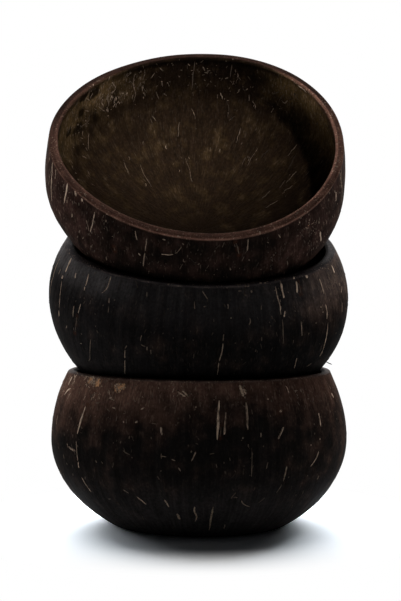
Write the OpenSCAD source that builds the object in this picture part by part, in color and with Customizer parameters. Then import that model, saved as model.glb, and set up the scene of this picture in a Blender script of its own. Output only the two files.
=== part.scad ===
/* [Shell] */
// Thickness of the coconut shell
wall = 4.3; // [3:0.1:6]
// Rounding of the two edges of each sawn rim
rim_ease = 0.9; // [0.3:0.1:1.4]
// Gap left where one bowl rests on the rim below it
seat_clearance = 0.3; // [0.2:0.05:0.6]

/* [Bottom bowl] */
// Diameter at the belly, the widest place
bottom_belly_d = 145.6; // [125:0.5:170]
// Height from the flat base to the top of the rim
bottom_height = 75.6; // [65:0.5:95]
// Height of the belly above the flat base
bottom_belly_height = 42.4; // [32:0.5:50]
// Diameter of the flat ground on the base
bottom_base_d = 85; // [40:1:100]
// How far the rim draws in from the belly, at each side
bottom_rim_inset = 8.6; // [5:0.1:14]
// Height of the three soft lobes, as a share of the radius
bottom_lobe_share = 0.012; // [0:0.001:0.03]
// Direction of one lobe, anticlockwise from the right
bottom_lobe_turn = 50; // [0:1:120]

/* [Middle bowl] */
// Diameter at the belly, the widest place
middle_belly_d = 147.8; // [130:0.5:165]
// Height from the flat base to the top of the rim
middle_height = 77.6; // [65:0.5:95]
// Height of the belly above the flat base
middle_belly_height = 51; // [40:0.5:60]
// Diameter of the flat ground on the base
middle_base_d = 76; // [40:1:100]
// How far the rim draws in from the belly, at each side
middle_rim_inset = 8.6; // [5:0.1:14]
// Height of the three soft lobes, as a share of the radius
middle_lobe_share = 0.008; // [0:0.001:0.03]
// Direction of one lobe, anticlockwise from the right
middle_lobe_turn = 83; // [0:1:120]
// Lean of the bowl towards the front
middle_tilt = 16.8; // [5:0.1:25]
// Lean of the bowl towards the right
middle_roll = 1.7; // [-5:0.1:5]
// Distance that it sits to the right of the bottom bowl's centre
middle_shift_x = -0.7; // [-4:0.1:4]
// Distance that it sits behind the bottom bowl's centre
middle_shift_y = 5.6; // [0:0.1:10]

/* [Top bowl] */
// Diameter at the belly, the widest place
top_belly_d = 146.6; // [130:0.5:165]
// Height from the flat base to the top of the rim
top_height = 64.1; // [56:0.5:84]
// Height of the belly above the flat base
top_belly_height = 40.5; // [34:0.5:50]
// Diameter of the flat ground on the base
top_base_d = 51; // [30:1:90]
// How far the rim draws in from the belly, at each side
top_rim_inset = 2.6; // [1.5:0.1:10]
// Height of the three soft lobes, as a share of the radius
top_lobe_share = 0.02; // [0:0.001:0.03]
// Direction of one lobe, anticlockwise from the right
top_lobe_turn = 52; // [0:1:120]
// Lean of the bowl towards the front
top_tilt = 41.1; // [25:0.1:50]
// Lean of the bowl towards the right
top_roll = 2.2; // [-5:0.1:5]
// Distance that it sits to the right of the middle bowl's centre
top_shift_x = -0.6; // [-4:0.1:4]
// Distance that it sits behind the middle bowl's centre, less than 0 for in front
top_shift_y = -8.5; // [-14:0.1:0]

/* [Surface detail] */
// Flat strips round each bowl
columns = 72; // [48:6:84]
// Rings of facets below the belly, on each side of the shell
lower_rings = 9; // [6:1:10]
// Rings of facets above the belly, on each side of the shell
upper_rings = 5; // [3:1:6]
// Rings of facets on each rounded edge of the rim
edge_rings = 3; // [2:1:4]

/* [Hidden] */

// A coconut has three seams, so each section has three lobes
lobes = 3;
full_turn = 360;
// The most of the wall that one rounded edge of the rim takes
ease_limit_share = 0.33;
// Passes in which a contact point and the lobe under it settle on each other
settle_passes = 4;

// The sizes of one bowl, always in this order
BELLY_R = 0;
RIM_RISE = 1;
BASE_DROP = 2;
UPPER = 3;
LOWER = 4;
LOBE_SHARE = 5;
LOBE_TURN = 6;

// Full half height of an ellipse that is drawn in to radius r at height z from its widest place
function ellipse_reach(widest_r, r, z) = z / sqrt(1 - pow(r / widest_r, 2));

// The shell is two half ellipsoids that meet at the belly, cut by the rim above and by the base below
function bowl_sizes(belly_d, height, belly_height, base_d, rim_inset, lobe_share, lobe_turn) =
    let (belly_r = belly_d / 2, rim_rise = height - belly_height)
    [
        belly_r,
        rim_rise,
        belly_height,
        ellipse_reach(belly_r, belly_r - rim_inset, rim_rise),
        ellipse_reach(belly_r, base_d / 2, belly_height),
        lobe_share,
        lobe_turn
    ];

// Radius as a share of the mean one in a given direction
function lobe_factor(bowl, turn) = 1 + bowl[LOBE_SHARE] * cos(lobes * (turn - bowl[LOBE_TURN]));

// Radius of the outer face, or of the inner one with inset equal to the wall, at height z above the belly
function radius_at(bowl, z, inset) =
    let (reach = (z < 0 ? bowl[LOWER] : bowl[UPPER]) - inset)
    (bowl[BELLY_R] - inset) * sqrt(1 - pow(z / reach, 2));

// Points on one face from height z_a to height z_b, both on the same side of the belly
function face_arc(bowl, inset, z_a, z_b, rings) =
    let (reach = (min(z_a, z_b) < 0 ? bowl[LOWER] : bowl[UPPER]) - inset)
    let (turn_a = asin(z_a / reach), turn_b = asin(z_b / reach))
    [
        for (i = [0 : rings])
            let (turn = turn_a + (turn_b - turn_a) * i / rings)
            [(bowl[BELLY_R] - inset) * cos(turn), reach * sin(turn)]
    ];

// A rounded edge from one point to another round their corner
function eased_edge(from, corner, to) = [
    for (i = [1 : edge_rings - 1])
        let (u = i / edge_rings)
        from * pow(1 - u, 2) + corner * 2 * u * (1 - u) + to * pow(u, 2)
];

// Rounding of the rim's edges, limited by the wall
ease = min(rim_ease, wall * ease_limit_share);

function outer_profile(bowl) = concat(
    face_arc(bowl, 0, -bowl[BASE_DROP], 0, lower_rings),
    [for (p = face_arc(bowl, 0, 0, bowl[RIM_RISE] - ease, upper_rings)) if (p.y > 0) p]
);

function rim_profile(bowl) =
    let (
        top = bowl[RIM_RISE],
        outer_r = radius_at(bowl, top, 0),
        inner_r = radius_at(bowl, top, wall),
        outer_flat = [outer_r - ease, top],
        inner_flat = [inner_r + ease, top]
    )
    concat(
        eased_edge([radius_at(bowl, top - ease, 0), top - ease], [outer_r, top], outer_flat),
        [outer_flat, inner_flat],
        eased_edge(inner_flat, [inner_r, top], [radius_at(bowl, top - ease, wall), top - ease])
    );

function inner_profile(bowl) = concat(
    face_arc(bowl, wall, bowl[RIM_RISE] - ease, 0, upper_rings),
    [for (p = face_arc(bowl, wall, 0, wall - bowl[BASE_DROP], lower_rings)) if (p.y < 0) p]
);

// The points of a profile carried round the bowl, ring by ring
function turned(bowl, profile) = [
    for (p = profile, i = [0 : columns - 1])
        let (turn = full_turn * i / columns, r = p.x * lobe_factor(bowl, turn))
        [r * cos(turn), r * sin(turn), p.y]
];

// A bowl's own frame, leant towards the front and then towards the right
function leant(tilt, roll) =
    [[cos(roll), 0, sin(roll)], [0, 1, 0], [-sin(roll), 0, cos(roll)]]
    * [[1, 0, 0], [0, cos(tilt), -sin(tilt)], [0, sin(tilt), cos(tilt)]];

// The bowl grown by the clearance, which is what seats without touching
function grown(bowl, gap) = [
    bowl[BELLY_R] + gap,
    bowl[RIM_RISE] + gap,
    bowl[BASE_DROP] + gap,
    bowl[UPPER] + gap,
    bowl[LOWER] + gap,
    bowl[LOBE_SHARE],
    bowl[LOBE_TURN]
];

// How far along a vertical line, from the foot point, the line enters the bowl's outer face.
// The foot and the upward direction are given in the bowl's own frame.
function entry(bowl, foot, up, factor, reach, passes) =
    let (
        shrink = [1 / (bowl[BELLY_R] * factor), 1 / (bowl[BELLY_R] * factor), 1 / reach],
        f = [foot.x * shrink.x, foot.y * shrink.y, foot.z * shrink.z],
        u = [up.x * shrink.x, up.y * shrink.y, up.z * shrink.z],
        root = pow(f * u, 2) - (u * u) * (f * f - 1)
    )
    root < 0 ? undef :
    let (t = -(f * u + sqrt(root)) / (u * u), p = foot + up * t)
    passes == 0 ? t :
    entry(
        bowl, foot, up,
        lobe_factor(bowl, atan2(p.y, p.x)),
        p.z < 0 ? bowl[LOWER] : bowl[UPPER],
        passes - 1
    );

// Height of an upper bowl's belly centre at which it just clears one point of the bowl below
function clearing_height(bowl, frame, shift, point) =
    let (
        foot = [point.x - shift.x, point.y - shift.y, 0] * frame,
        up = [0, 0, 1] * frame,
        t = entry(bowl, foot, up, 1, bowl[LOWER], settle_passes)
    )
    is_undef(t) ? 0 : point.z - max(t, (-bowl[BASE_DROP] - foot.z) / up.z);

// Place of an upper bowl's belly centre, lowered until it rests on the rim or the inside below
function seated(bowl, frame, shift, below, below_frame, below_place) =
    let (
        upper = grown(bowl, seat_clearance),
        contacts = turned(below, concat(rim_profile(below), inner_profile(below))),
        centre = [below_place.x + shift.x, below_place.y + shift.y]
    )
    [
        centre.x,
        centre.y,
        max([for (p = contacts) clearing_height(upper, frame, centre, below_frame * p + below_place)])
    ];

bottom = bowl_sizes(
    bottom_belly_d, bottom_height, bottom_belly_height, bottom_base_d,
    bottom_rim_inset, bottom_lobe_share, bottom_lobe_turn
);
middle = bowl_sizes(
    middle_belly_d, middle_height, middle_belly_height, middle_base_d,
    middle_rim_inset, middle_lobe_share, middle_lobe_turn
);
top = bowl_sizes(
    top_belly_d, top_height, top_belly_height, top_base_d,
    top_rim_inset, top_lobe_share, top_lobe_turn
);

// The origin is the centre of the bottom bowl's flat base
bottom_frame = leant(0, 0);
bottom_place = [0, 0, bottom_belly_height];
middle_frame = leant(middle_tilt, middle_roll);
middle_place = seated(
    middle, middle_frame, [middle_shift_x, middle_shift_y],
    bottom, bottom_frame, bottom_place
);
top_frame = leant(top_tilt, top_roll);
top_place = seated(
    top, top_frame, [top_shift_x, top_shift_y],
    middle, middle_frame, middle_place
);

// One closed shell, drawn round its own axis with the belly at height zero
module shell(bowl) {
    profile = concat(outer_profile(bowl), rim_profile(bowl), inner_profile(bowl));
    last = (len(profile) - 1) * columns;
    base_face = [for (i = [0 : columns - 1]) i];
    floor_face = [for (i = [0 : columns - 1]) last + columns - 1 - i];
    bands = [
        for (ring = [0 : len(profile) - 2], i = [0 : columns - 1])
            let (a = ring * columns + i, b = ring * columns + (i + 1) % columns)
            for (face = [[a, a + columns, b], [b, a + columns, b + columns]]) face
    ];
    polyhedron(turned(bowl, profile), concat([base_face, floor_face], bands), convexity = 4);
}

// Worn brown above and dark below, standing on its base
module bottom_bowl() {
    color("#241a18") translate(bottom_place) shell(bottom);
}

// Near black, leaning forward in the rim of the bottom bowl
module middle_bowl() {
    color("#1c1a1a") translate(middle_place) rotate([middle_tilt, middle_roll, 0]) shell(middle);
}

// Red-brown, leaning further forward in the rim of the middle bowl
module top_bowl() {
    color("#3a2826") translate(top_place) rotate([top_tilt, top_roll, 0]) shell(top);
}

bottom_bowl();
middle_bowl();
top_bowl();
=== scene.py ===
"""Three nested coconut shell bowls: shells with sawn rims, husk fibres and a studio stage."""
import math

import bpy
import numpy as np
from bpy.props import FloatProperty, FloatVectorProperty, IntProperty, PointerProperty
from mathutils import Matrix, Vector
from mathutils.bvhtree import BVHTree


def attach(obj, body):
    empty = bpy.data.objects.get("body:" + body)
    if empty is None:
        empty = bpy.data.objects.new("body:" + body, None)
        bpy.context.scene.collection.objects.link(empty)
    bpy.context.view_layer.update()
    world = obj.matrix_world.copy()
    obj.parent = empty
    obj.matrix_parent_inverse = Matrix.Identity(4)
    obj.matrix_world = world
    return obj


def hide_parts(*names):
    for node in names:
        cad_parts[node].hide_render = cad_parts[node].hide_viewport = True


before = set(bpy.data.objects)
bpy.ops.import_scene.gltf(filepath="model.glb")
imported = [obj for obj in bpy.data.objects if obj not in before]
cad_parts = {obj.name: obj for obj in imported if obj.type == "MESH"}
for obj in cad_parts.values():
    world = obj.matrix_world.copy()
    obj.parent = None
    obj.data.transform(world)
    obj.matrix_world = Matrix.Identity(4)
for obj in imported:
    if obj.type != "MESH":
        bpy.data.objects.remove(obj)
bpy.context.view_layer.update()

bl_info = {
    "name": "Coconut Shell Bowls",
    "version": (1, 0, 0),
    "blender": (4, 5, 0),
    "location": "3D View > Sidebar > Bowls",
    "description": "Shells, husk fibres and a studio stage for a nested stack of coconut shell bowls",
    "category": "Object",
}

MM = 0.001
# Slight bulges round each bowl, as the CAD model has them
LOBES = 3
BOWLS = ("bottom_bowl", "middle_bowl", "top_bowl")
# Zones of a shell's surface, which are also its material slots
OUTER, RIM, INNER = 0, 1, 2

# How near to the lowest point, and to the belly's height, a CAD point counts as there, in mm
FLAT_DEPTH = 0.01
BELLY_BAND = 0.2
# Share of the rim's and the base's height past which points are far enough off the belly to measure
OFF_BELLY_SHARE = 0.3
# Points in each stretch of a shell's half section, from the base to the floor
RINGS = {
    "flat": 12, "base_edge": 5, "lower": 64, "upper": 34, "outer_edge": 7,
    "inner_edge": 9, "inner_upper": 26, "inner_lower": 34, "floor_edge": 8,
}
# A sum of waves over this many times the root of their count lies mostly within 0.5 of 0
WAVE_SPREAD = 2.4
# Fibres at least this rusty stain the skin, over this many times their width
LEAST_STAIN = 0.25
STAIN_SPREAD = 2.6
# Spacing of the points of a fibre in mm
STRAND_SPACING = 0.9

# Side of the floor and radius of the cloth dome in m, and how far the floor lies below 0 in mm
FLOOR_SIZE = 6
CLOTH_RADIUS = 1.9
FLOOR_DROP = 0.2

# The photograph's frame, in pixels, in which the fibre routes below are given
PHOTO_WIDTH = 401
PHOTO_HEIGHT = 601

# Kinds of husk fibre, chosen from the photograph: width in mm, how pale and how rusty
TUFT = (1.4, 1.0, 0.1)
GINGER = (1.3, 1.0, 0.5)
STRAW = (1.0, 0.95, 0.1)
STRAND = (0.7, 0.9, 0.1)
RUSTY = (0.9, 0.5, 0.4)
THREAD = (0.5, 0.75, 0)
FLUFF = (0.6, 0.6, 0.4)
THIN = (0.4, 0.45, 0)
DULL = (0.6, 0.35, 0.1)
FAINT = (0.4, 0.2, 0)
RED = (0.6, 0.15, 0.8)

# Husk fibres on the outside of each bowl, listed one by one: the kind, and the pixels it passes through
OUTER_FIBRES = {
    "bottom_bowl": [
        (STRAW, (86, 405), (83, 414), (80, 424), (77, 435)), (RED, (84, 415), (81, 424)),
        (THREAD, (76, 440), (77, 452), (78, 462)), (STRAND, (78, 461), (79, 469)),
        (THREAD, (81, 476), (86, 485), (92, 493)), (RUSTY, (68, 446), (71, 449), (76, 451)),
        (FLUFF, (67, 443), (68, 448)), (STRAW, (219, 399), (218, 415), (218, 427), (217, 441)),
        (RUSTY, (226, 411), (225, 424), (224, 436)), (RED, (221, 425), (220, 438)),
        (GINGER, (240, 384), (241, 390), (244, 397)), (GINGER, (243, 388), (246, 395)),
        (RUSTY, (246, 401), (247, 415), (248, 431)), (STRAW, (161, 426), (161, 430), (162, 436)),
        (RUSTY, (284, 426), (281, 433), (278, 440)), (STRAW, (318, 412), (320, 420), (321, 427)),
        (THREAD, (319, 450), (316, 459), (310, 467)), (RUSTY, (287, 465), (285, 474), (283, 482)),
        (FAINT, (283, 483), (279, 489), (276, 494)), (THIN, (160, 456), (167, 457)),
        (THIN, (171, 459), (176, 461)), (THIN, (178, 467), (181, 472)), (FAINT, (157, 476), (160, 480)),
        (FAINT, (122, 450), (126, 453), (131, 455)), (FAINT, (108, 499), (111, 499)),
        (THIN, (95, 460), (97, 463)), (FAINT, (101, 461), (103, 464)),
        (FLUFF, (196, 451), (194, 456), (191, 462)), (FAINT, (252, 450), (252, 465), (251, 478)),
        (FAINT, (268, 461), (266, 470)), (THIN, (122, 489), (130, 494)),
        (STRAND, (136, 496), (141, 500), (147, 505)), (STRAND, (164, 499), (167, 503), (169, 508)),
        (TUFT, (177, 513), (180, 520)), (STRAND, (195, 506), (194, 511), (197, 516), (195, 522)),
        (STRAND, (213, 506), (211, 518), (209, 531)), (THREAD, (241, 500), (244, 505), (251, 507)),
        (DULL, (233, 497), (238, 498)), (FAINT, (257, 504), (262, 500), (266, 497)),
        (THREAD, (225, 524), (224, 529)), (RED, (94, 392), (90, 399), (88, 404)),
        (FLUFF, (68, 377), (65, 386), (62, 394)), (THREAD, (73, 382), (72, 387)),
        (STRAND, (78, 372), (75, 379), (73, 385)), (FLUFF, (71, 392), (66, 402)),
        (FLUFF, (140, 410), (145, 407)), (FLUFF, (112, 407), (116, 409)),
        (FAINT, (151, 423), (157, 424)), (THREAD, (123, 421), (124, 423)),
        (TUFT, (136, 421), (137, 423)), (THIN, (196, 406), (196, 408)), (FAINT, (176, 424), (176, 426)),
        (THREAD, (158, 387), (159, 389)), (THIN, (142, 396), (143, 398)),
        (STRAND, (268, 398), (268, 400)), (FAINT, (270, 415), (271, 417)),
        (THIN, (261, 432), (261, 438)), (THIN, (243, 437), (243, 439)), (FAINT, (198, 438), (199, 440)),
        (STRAND, (320, 438), (320, 440)), (THREAD, (311, 444), (311, 446)),
        (THIN, (341, 409), (341, 411)), (GINGER, (280, 410), (282, 412)),
        (STRAND, (177, 391), (181, 394), (186, 397)), (STRAND, (182, 390), (185, 393), (188, 396)),
        (STRAW, (80, 373), (76, 376), (73, 381)), (TUFT, (73, 376), (70, 381), (68, 386)),
        (STRAW, (71, 388), (67, 391), (64, 396)), (FAINT, (297, 401), (300, 406)),
        (GINGER, (331, 393), (334, 398)), (THIN, (329, 385), (331, 390)),
        (FLUFF, (319, 475), (317, 480)), (THREAD, (285, 385), (288, 389), (289, 394)),
    ],
    "middle_bowl": [
        (TUFT, (72, 257), (69, 264), (66, 270), (65, 273)), (TUFT, (63, 275), (62, 279)),
        (THREAD, (62, 280), (61, 287), (60, 298), (59, 309)), (STRAND, (59, 309), (59, 317)),
        (STRAND, (76, 272), (75, 279)), (STRAND, (89, 273), (87, 281), (85, 287)),
        (THREAD, (85, 286), (84, 291)), (THREAD, (111, 275), (109, 284), (106, 290), (101, 294)),
        (THREAD, (81, 303), (79, 310), (78, 314)), (THREAD, (74, 305), (73, 312), (73, 318)),
        (RED, (77, 316), (76, 325), (75, 333)), (FLUFF, (109, 297), (109, 304)),
        (FAINT, (109, 305), (108, 314)), (THIN, (67, 325), (66, 329)), (FAINT, (81, 333), (82, 335)),
        (THIN, (80, 343), (82, 344)), (FAINT, (91, 338), (90, 350), (90, 360), (88, 361)),
        (FAINT, (127, 345), (125, 349)), (THIN, (125, 349), (125, 359)), (THIN, (125, 359), (125, 375)),
        (FAINT, (142, 334), (140, 342)), (FAINT, (140, 344), (143, 346), (146, 347)),
        (THIN, (147, 346), (147, 351)), (FAINT, (151, 349), (151, 355)),
        (FAINT, (147, 291), (147, 298)), (THIN, (202, 290), (205, 295), (208, 300)),
        (FAINT, (194, 300), (195, 310)), (FAINT, (203, 307), (207, 306)),
        (THIN, (228, 303), (228, 310)), (THIN, (231, 317), (231, 319)),
        (FAINT, (249, 317), (251, 321), (249, 326)), (DULL, (238, 291), (242, 291)),
        (DULL, (251, 290), (252, 293)), (STRAND, (259, 283), (262, 283)),
        (DULL, (264, 283), (266, 282)), (THREAD, (275, 285), (277, 295), (280, 306), (281, 316)),
        (STRAW, (281, 282), (282, 290), (284, 299)), (STRAND, (285, 310), (284, 318)),
        (FAINT, (282, 318), (283, 330), (283, 345)), (STRAW, (296, 280), (297, 288), (297, 294)),
        (RED, (298, 282), (300, 288), (301, 294)), (TUFT, (293, 278), (295, 278)),
        (TUFT, (305, 275), (308, 278)), (STRAW, (319, 278), (322, 286), (324, 295)),
        (STRAND, (325, 303), (327, 310), (327, 320)),
        (THREAD, (328, 321), (327, 333), (325, 343), (322, 352), (319, 358)),
        (THIN, (301, 320), (302, 337)), (THIN, (297, 357), (294, 369)), (FAINT, (312, 363), (306, 367)),
        (TUFT, (331, 264), (333, 269), (335, 274)), (STRAND, (321, 306), (321, 308)),
        (THREAD, (323, 311), (323, 313)), (THIN, (316, 322), (316, 324)),
        (STRAW, (342, 286), (341, 293)), (THREAD, (342, 301), (342, 313)),
        (FAINT, (224, 333), (223, 342)), (DULL, (223, 342), (222, 352), (219, 362)),
        (THIN, (219, 362), (217, 376)),
    ],
    "top_bowl": [
        (STRAW, (68, 182), (66, 193), (64, 204)), (STRAW, (53, 160), (52, 174), (51, 188), (52, 202)),
        (THREAD, (56, 168), (55, 180)), (GINGER, (75, 190), (76, 197)), (STRAW, (82, 198), (82, 202)),
        (THREAD, (95, 211), (93, 222), (90, 233)), (THIN, (86, 219), (88, 226), (89, 232)),
        (THIN, (91, 245), (91, 248)), (DULL, (106, 256), (107, 261)), (RED, (114, 247), (115, 251)),
        (THIN, (135, 230), (137, 241)), (THIN, (147, 237), (145, 252)),
        (DULL, (145, 252), (144, 260), (143, 267)), (THREAD, (138, 253), (141, 256)),
        (THREAD, (160, 254), (168, 255), (174, 254)), (FAINT, (174, 254), (179, 251), (182, 246)),
        (DULL, (162, 239), (166, 240)), (FAINT, (182, 243), (184, 245)),
        (RED, (236, 242), (238, 249), (239, 255)), (DULL, (248, 238), (248, 245), (247, 252)),
        (THIN, (278, 234), (281, 238)), (FAINT, (267, 242), (269, 243)),
        (STRAND, (336, 191), (336, 202)), (FAINT, (339, 204), (338, 214)),
        (STRAW, (320, 231), (321, 242), (320, 254)), (FAINT, (287, 260), (288, 266)),
        (DULL, (301, 217), (301, 219)), (FAINT, (274, 254), (274, 256)),
        (FAINT, (249, 259), (249, 261)), (THIN, (58, 209), (60, 215)), (THREAD, (72, 213), (72, 218)),
    ],
}

# Tan patches where husk is left in the skin: size in mm, how pale, and the pixel at its middle
OUTER_BLOTCHES = {
    "bottom_bowl": [
        (4.0, 1.0, (91, 379)), (4.0, 1.0, (98, 382)), (3.6, 1.1, (118, 388)), (3.0, 1.0, (122, 387)),
        (2.0, 0.6, (109, 397)), (2.4, 0.5, (94, 394)), (1.6, 0.7, (172, 386)), (2.2, 0.7, (182, 393)),
        (2.0, 0.6, (67, 383)), (2.2, 0.5, (66, 392)), (2.6, 0.5, (302, 393)), (2.2, 0.6, (281, 411)),
        (2.0, 0.5, (332, 396)), (2.2, 0.4, (163, 403)), (1.6, 0.5, (111, 449)), (2.0, 0.4, (98, 450)),
    ],
    "middle_bowl": [
        (6.0, 0.5, (335, 284)), (2.4, 0.6, (333, 288)), (2.0, 0.4, (283, 288)), (2.0, 0.5, (340, 278)),
    ],
    "top_bowl": [
        (1.8, 0.7, (309, 225)), (1.6, 0.6, (82, 200)), (1.8, 0.5, (76, 194)), (1.6, 0.5, (164, 240)),
    ],
}

# Patches of many short fibres and crumbs of husk on the outside: how many, how far they spread in
# pixels across and down, how pale, how far they turn from the grain in radians, and the middle pixel
FLECK_PATCHES = {
    "bottom_bowl": [
        (90, (5, 3.4), 1.0, 0.9, (93, 380)), (30, (3.0, 2.0), 1.0, 0.9, (119, 387)),
        (16, (2.5, 3.5), 0.8, 0.9, (109, 396)), (20, (3.5, 2.5), 0.7, 0.9, (95, 396)),
        (9, (9, 6), 0.5, 0.3, (181, 391)), (8, (1.5, 3), 0.8, 0.3, (172, 386)),
        (22, (4, 7), 0.6, 0.5, (67, 386)), (40, (20, 14), 0.3, 0.9, (108, 402)),
        (26, (30, 12), 0.25, 0.9, (200, 398)), (20, (12, 16), 0.3, 0.6, (320, 405)),
        (12, (5, 5), 0.4, 0.9, (302, 392)), (30, (10, 24), 0.3, 0.5, (72, 440)),
        (16, (40, 26), 0.2, 0.7, (200, 470)), (14, (2.4, 8), 0.4, 0.2, (243, 390)),
        (12, (14, 4), 0.5, 1.2, (105, 376)),
    ],
    "middle_bowl": [
        (44, (4, 10), 0.5, 0.4, (332, 276)), (18, (8, 3), 0.4, 0.9, (246, 285)),
        (26, (16, 26), 0.22, 0.3, (84, 300)), (24, (20, 26), 0.2, 0.3, (300, 320)),
        (20, (46, 20), 0.12, 0.4, (190, 320)), (12, (3, 8), 0.35, 0.2, (281, 290)),
    ],
    "top_bowl": [
        (70, (13, 15), 0.4, 0.3, (314, 232)), (46, (6, 22), 0.4, 0.25, (338, 190)),
        (40, (8, 20), 0.35, 0.25, (58, 190)), (36, (14, 14), 0.3, 0.3, (92, 232)),
        (30, (40, 9), 0.1, 0.4, (180, 256)), (20, (26, 9), 0.12, 0.4, (262, 256)),
        (14, (9, 4), 0.5, 0.8, (80, 200)), (10, (3, 3), 0.8, 0.8, (309, 225)),
    ],
}

# How pale the random short fibres of each bowl are at most
FLECK_TONES = {"bottom_bowl": 0.25, "middle_bowl": 0.06, "top_bowl": 0.22}

# Pale specks on the top bowl's sawn rim, by pixel
RIM_SPECKS = (
    (85, 195), (92, 200), (107, 214), (115, 217), (260, 232), (305, 211), (316, 200), (313, 98),
    (320, 104), (332, 110), (332, 115), (334, 131), (337, 144), (338, 161), (341, 159), (57, 145),
    (102, 205), (157, 230), (178, 236), (324, 188),
)

# Fibres inside the top bowl, as for the outside
INNER_FIBRES = (
    (THREAD, (112, 82), (114, 85), (116, 88)), (THIN, (135, 73), (133, 85), (136, 94), (133, 103)),
    (FAINT, (195, 61), (193, 75), (192, 89)), (STRAND, (297, 85), (303, 89), (308, 94)),
    (STRAND, (281, 99), (284, 104), (288, 100)), (FAINT, (156, 91), (159, 100)),
    (FAINT, (232, 64), (230, 78)), (THIN, (220, 92), (223, 100)), (THREAD, (127, 92), (127, 96)),
    (FAINT, (152, 97), (152, 100)),
)

# Dark scraped patches inside the top bowl: size in mm, how dark, and the pixel at its middle
INNER_PITS = (
    (4.0, 1.0, (94, 93)), (3.6, 0.9, (84, 97)), (3.6, 0.9, (81, 113)), (4.6, 0.8, (78, 128)),
    (3.4, 0.8, (69, 132)), (5.0, 0.6, (96, 118)), (4.0, 0.6, (80, 148)),
)

# Patches of fine hair inside the top bowl, as for the flecks
HAIR_PATCHES = (
    (90, (11, 8), 0.6, 0.4, (106, 97)), (40, (10, 12), 0.4, 0.4, (138, 84)),
    (50, (7, 14), 0.45, 0.5, (72, 118)), (45, (26, 7), 0.3, 0.5, (200, 72)),
    (80, (22, 10), 0.4, 0.5, (286, 92)), (60, (6, 18), 0.4, 0.5, (324, 124)),
)

# How much paler the skin is round some pixels inside the top bowl, partly painted light on its right wall,
# which the lamps leave in shade: size in mm and strength
INNER_PALE_AND_PAINTED_LIGHT = (
    (17, 1.0, (96, 88)), (14, 1.1, (66, 128)), (12, 0.45, (122, 84)), (13, 0.8, (286, 90)),
    (14, 0.9, (312, 104)), (15, 1.0, (322, 128)), (12, 0.9, (331, 150)),
)

# A fibre that stands off the middle bowl's right side, by pixel, and how far its tip stands off in mm
STRAY_FIBRE = ((325, 361), 4.8)


def linear(hex_colour):
    """An sRGB hex colour as linear red, green and blue."""
    shares = [int(hex_colour[i:i + 2], 16) / 255 for i in (1, 3, 5)]
    return tuple(s / 12.92 if s <= 0.04045 else ((s + 0.055) / 1.055) ** 2.4 for s in shares)


def colour_setting(name, description, hex_colour):
    return FloatVectorProperty(
        name=name, description=description, subtype="COLOR", size=3, min=0, max=1,
        default=linear(hex_colour),
    )


def length_setting(name, description, default, low, high):
    """A length, with its default and its limits in mm."""
    return FloatProperty(
        name=name, description=description, subtype="DISTANCE", unit="LENGTH",
        default=default * MM, min=low * MM, max=high * MM,
    )


def count_setting(name, description, default, low=0, high=1200):
    return IntProperty(name=name, description=description, default=default, min=low, max=high)


def power_setting(name, description, default):
    return FloatProperty(name=name, description=description, subtype="POWER", default=default)


class ShellShapeSettings(bpy.types.PropertyGroup):
    """Sizes of the shells' surface, within the sizes that the CAD model gives."""

    columns: count_setting("Columns", "Faces round each shell", 400, low=48, high=440)
    outer_ease: length_setting("Outer rim edge", "Rounding of the rim's outer edge", 0.9, 0.2, 2.0)
    inner_ease: length_setting("Inner rim edge", "Rounding of the rim's inner edge", 1.7, 0.2, 2.0)
    lower_inner_ease: length_setting(
        "Inner rim edge, lower bowls", "The same on the two lower bowls, with thinner rims", 3.0, 0.2, 3.2
    )
    base_ease: length_setting("Base edge", "Rounding of the ground base's edge", 0.8, 0.1, 3.0)
    floor_ease: length_setting("Floor edge", "Rounding between the inner wall and floor", 9.0, 1.0, 20.0)
    undulation: length_setting("Undulation", "Depth of the hand sanded waves outside", 0.3, 0.0, 0.6)
    ridges: length_setting("Ridges", "Depth of the long ridges along the grain outside", 0.08, 0.0, 0.3)
    scraping: length_setting("Scraping", "Depth of the scraped hollows inside", 0.4, 0.0, 0.8)
    rim_wave: length_setting("Rim wave", "How far the sawn rim dips below its plane", 0.35, 0.0, 1.0)
    near_rise: length_setting("Near rim", "How far the top bowl's rim rises at the front", 1.6, 0.0, 2.0)
    lower_near_rise: length_setting(
        "Near rim, lower bowls", "The same on the two lower bowls, under the bowl above", 1.1, 0.0, 1.5
    )
    seed: count_setting("Seed", "Start of the random waves", 11)


class ShellColourSettings(bpy.types.PropertyGroup):
    """Colours of the shells and of the husk fibres in them."""

    # The worn colours are laid where the shell is sanded brown and also as painted light
    bottom_ground: colour_setting("Bottom bowl, dark", "Untouched dark shell", "#191716")
    bottom_worn: colour_setting("Bottom bowl, worn", "Shell that sanding has browned", "#47342c")
    middle_ground: colour_setting("Middle bowl, dark", "Untouched dark shell", "#100f0f")
    middle_worn: colour_setting("Middle bowl, worn", "Shell that sanding has browned", "#3a2c25")
    top_ground: colour_setting("Top bowl, dark", "Untouched dark shell", "#130f0d")
    top_worn: colour_setting("Top bowl, worn", "Shell that sanding has browned", "#382722")
    bottom_sawn: colour_setting("Bottom bowl, rim", "Face of the sawn rim", "#43342f")
    # The middle bowl's rim is darker, partly painted shade under the top bowl
    middle_sawn: colour_setting("Middle bowl, rim", "Face of the sawn rim", "#363132")
    top_sawn: colour_setting("Top bowl, rim", "Face of the sawn rim", "#50382f")
    # A painted sheen and painted light from the floor, laid over the skin as a grey
    bloom: colour_setting("Bloom", "Grey bloom on skin that the oil has left dry", "#454242")
    inner_dark: colour_setting("Inside, dark", "Scraped inner face where it is darkest", "#1f160f")
    inner_pale: colour_setting("Inside, pale", "Scraped inner face where it is palest", "#5e4a2f")
    husk: colour_setting("Husk", "Pale fibres and patches of husk", "#d0b69f")
    rust: colour_setting("Rust", "Reddish fibres and the stain beside them", "#5f3826")


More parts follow.
